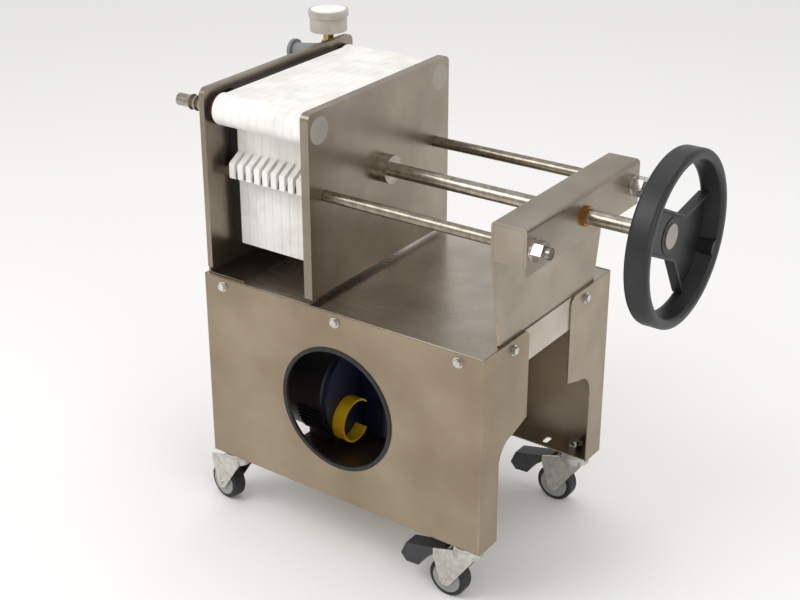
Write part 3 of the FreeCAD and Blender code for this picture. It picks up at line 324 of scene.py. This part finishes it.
sideBolts = {"first": 0.031, "middle": 0.208, "last": 0.382, "drop": 0.011}
for count, along in enumerate((sideBolts["first"], sideBolts["middle"], sideBolts["last"])):
    for tag, sign in (("near", -1), ("far", 1)):
        spot = (standStart + along, sign * standSide, standTop - sideBolts["drop"])
        bolt(f"{tag}SideBolt{count}", spot, "y", sign)
endBolts = {"out": 0.085, "drop": 0.013}
for tag, sign in (("near", -1), ("far", 1)):
    for end, along, face in (("head", standStart, -1), ("front", standFront, 1)):
        bolt(f"{end}{tag}Bolt", (along, sign * endBolts["out"], standTop - endBolts["drop"]), "x", face)
print("bolts made")

# the motor lies along the stand; its round housing carries raised vent ribs
motorSizes = {"start": 0.03, "end": 0.137, "side": -0.022, "drop": 0.178, "radius": 0.068, "edge": 0.004}
turnAlong = sideTurns["x"]
roundSides = 96
motorLong = motorSizes["end"] - motorSizes["start"]
motorMiddle = (motorSizes["start"] + motorSizes["end"]) / 2
motorAxis = Vector((standStart + motorMiddle, motorSizes["side"], standTop - motorSizes["drop"]))
motor = cylinder("motorHousing", motorSizes["radius"], motorLong, motorAxis, turnAlong, roundSides, "motor")
bevelPiece(motor, motorSizes["edge"], 3, 60)
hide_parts("pump_motor")
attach(motor, "stand")

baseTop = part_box("pump_base_plate")[1].z
saddleSizes = {"start": 0.085, "end": 0.132, "half": 0.03, "sink": 0.012, "edge": 0.002}
saddleHigh = motorAxis.z - motorSizes["radius"] + saddleSizes["sink"]
saddle = block(
    "motorSaddle",
    (standStart + saddleSizes["start"], motorSizes["side"] - saddleSizes["half"], baseTop),
    (standStart + saddleSizes["end"], motorSizes["side"] + saddleSizes["half"], saddleHigh),
    "motor",
    saddleSizes["edge"],
)
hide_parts("motor_foot")
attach(saddle, "stand")

# angles in degrees below the motor's axis
ribSizes = {
    "count": 8,
    "start": 0.098,
    "end": 0.134,
    "first": 8,
    "step": 4.8,
    "proud": 0.0025,
    "thick": 0.0012,
}
ribs = []
for count in range(ribSizes["count"]):
    angle = math.radians(ribSizes["first"] + count * ribSizes["step"])
    reach = motorSizes["radius"] + ribSizes["proud"] / 2
    y = motorAxis.y - math.cos(angle) * reach
    z = motorAxis.z - math.sin(angle) * reach
    rib = block(
        f"motorRib{count}",
        (standStart + ribSizes["start"], y - ribSizes["proud"], z - ribSizes["thick"] / 2),
        (standStart + ribSizes["end"], y + ribSizes["proud"], z + ribSizes["thick"] / 2),
        "motor",
    )
    ribs.append(rib)
ribStack = joinPieces(ribs, "motorRibs")
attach(ribStack, "stand")

# pump body behind the motor's end, dark blue enamel
pumpSizes = {
    "end": 0.192,
    "near": -0.012,
    "far": 0.09,
    "drop": 0.122,
    "edge": 0.012,
    "flange": 0.066,
    "flangeThick": 0.006,
}
pumpBody = block(
    "pumpBody",
    (standStart + motorSizes["end"], pumpSizes["near"], baseTop),
    (standStart + pumpSizes["end"], pumpSizes["far"], standTop - pumpSizes["drop"]),
    "pump",
    pumpSizes["edge"],
)
flangeMiddle = motorAxis + Vector((motorSizes["end"] - motorMiddle + pumpSizes["flangeThick"] / 2, 0, 0))
flangeThick = pumpSizes["flangeThick"]
flange = cylinder("pumpFlange", pumpSizes["flange"], flangeThick, flangeMiddle, turnAlong, roundSides, "pump")
pumpWhole = joinPieces([pumpBody, flange], "pumpWithFlange")
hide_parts("pump_head")
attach(pumpWhole, "stand")

# yellow hoop, open on its far side
hoopSizes = {
    "radius": 0.03,
    "wall": 0.0025,
    "wide": 0.018,
    "side": -0.045,
    "drop": 0.211,
    "open": 42,
    "steps": 56,
}
hoopStart = standStart + motorSizes["end"] + pumpSizes["flangeThick"]
points = []
for count in range(hoopSizes["steps"] + 1):
    angle = math.radians(hoopSizes["open"] + (360 - 2 * hoopSizes["open"]) * count / hoopSizes["steps"])
    points.append((math.cos(angle), math.sin(angle)))
rings = []
for x in (hoopStart, hoopStart + hoopSizes["wide"]):
    for radius in (hoopSizes["radius"], hoopSizes["radius"] - hoopSizes["wall"]):
        height = standTop - hoopSizes["drop"]
        rings.append([(x, hoopSizes["side"] + y * radius, height + z * radius) for y, z in points])
span = len(points)
corners = [corner for line in rings for corner in line]
faces = []
for first, second in ((0, 2), (2, 3), (3, 1), (1, 0)):
    for k in range(span - 1):
        faces.append((first * span + k, second * span + k, second * span + k + 1, first * span + k + 1))
faces.append((0, span, 3 * span, 2 * span))
faces.append((span - 1, 3 * span - 1, 4 * span - 1, 2 * span - 1))
hoopMesh = bpy.data.meshes.new("yellowHoop")
hoopMesh.from_pydata(corners, [], faces)
hoop = bpy.data.objects.new("yellowHoop", hoopMesh)
bpy.context.scene.collection.objects.link(hoop)
hoopMesh.materials.append(finish["yellow"])
makeActive(hoop)
bpy.ops.object.mode_set(mode="EDIT")
bpy.ops.mesh.select_all(action="SELECT")
bpy.ops.mesh.normals_make_consistent(inside=False)
bpy.ops.object.mode_set(mode="OBJECT")
settle(hoop, 40)
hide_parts("yellow_band")
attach(hoop, "stand")
print("pump dressed")

# white dial of the gauge, left bare
dialSizes = {"inset": 0.0035, "thick": 0.0008, "sides": 64}
gaugeLow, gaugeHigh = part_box("gauge_case")
gaugeMiddle = (gaugeLow + gaugeHigh) / 2
dialRadius = (gaugeHigh.y - gaugeLow.y) / 2 - dialSizes["inset"]
dialPlace = Vector((gaugeMiddle.x, gaugeMiddle.y, gaugeHigh.z + dialSizes["thick"] / 2))
dial = cylinder("gaugeDial", dialRadius, dialSizes["thick"], dialPlace, (0, 0, 0), dialSizes["sides"], "white")
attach(dial, "stand")
print("dial made")

# ---- floor, light and camera

studio = {"floorSize": 14, "floorColour": "#fbfaf8", "worldStrength": 0.74}


def floorMaterial():
    # matt and nearly white, so that the soft shadow shows
    material, tree, surface = newMaterial("paleStudioFloor")
    surface.inputs["Base Color"].default_value = colour(studio["floorColour"])
    surface.inputs["Roughness"].default_value = 0.9
    return material


clearSelection()
bpy.ops.mesh.primitive_plane_add(size=studio["floorSize"], location=(0, 0, 0))
floor = bpy.context.object
floor.name = "studioFloor"
floor.data.materials.append(floorMaterial())

world = bpy.data.worlds.new("softStudio")
bpy.context.scene.world = world
world.use_nodes = True
worldTree = world.node_tree
sky = worldTree.nodes["Background"]
lightPath = addNode(worldTree, "ShaderNodeLightPath")
strength = addNode(
    worldTree,
    "ShaderNodeMapRange",
    {"Value": lightPath.outputs["Is Camera Ray"], "To Min": studio["worldStrength"], "To Max": 1.0},
)
worldTree.links.new(strength.outputs["Result"], sky.inputs["Strength"])
sky.inputs["Color"].default_value = colour("#ffffff")

softBoxes = {
    # name: place, aim, size, watts
    "keyBox": ((-0.9, -1.6, 2.2), (-0.05, 0, 0.3), 1.4, 20),
    "fillBox": ((2.2, -0.9, 1.3), (0, 0, 0.3), 1.6, 11),
    "topBox": ((0.1, 0.5, 2.6), (0, 0, 0.3), 1.6, 10),
}
for name, (place, aim, size, watts) in softBoxes.items():
    lamp = bpy.data.lights.new(name, "AREA")
    lamp.size = size
    lamp.energy = watts
    holder = bpy.data.objects.new(name, lamp)
    bpy.context.scene.collection.objects.link(holder)
    holder.location = place
    holder.rotation_euler = (Vector(aim) - Vector(place)).to_track_quat("-Z", "Y").to_euler()

view = {
    "place": (0.91517, -1.39829, 1.11588),
    "azimuth": 39.86,
    "elevation": 23.64,
    "roll": -2.04,
    "lens": 66.27,
    "shiftX": 0.14946,
    "shiftY": -0.06103,
}
cameraData = bpy.data.cameras.new("mainCamera")
camera = bpy.data.objects.new("mainCamera", cameraData)
bpy.context.scene.collection.objects.link(camera)
turn = math.radians(view["azimuth"])
tilt = math.radians(view["elevation"])
back = Vector((math.sin(turn) * math.cos(tilt), -math.cos(turn) * math.cos(tilt), math.sin(tilt)))
right = Vector((math.cos(turn), math.sin(turn), 0))
up = back.cross(right)
roll = math.radians(view["roll"])
rightRolled = math.cos(roll) * right + math.sin(roll) * up
upRolled = math.cos(roll) * up - math.sin(roll) * right
basis = Matrix((rightRolled, upRolled, back)).transposed().to_4x4()
camera.matrix_world = Matrix.Translation(Vector(view["place"])) @ basis
cameraData.lens = view["lens"]
cameraData.sensor_width = 36
cameraData.shift_x = view["shiftX"]
cameraData.shift_y = view["shiftY"]
cameraData.clip_start = 0.01
bpy.context.scene.camera = camera
bpy.context.scene.view_settings.view_transform = "Standard"
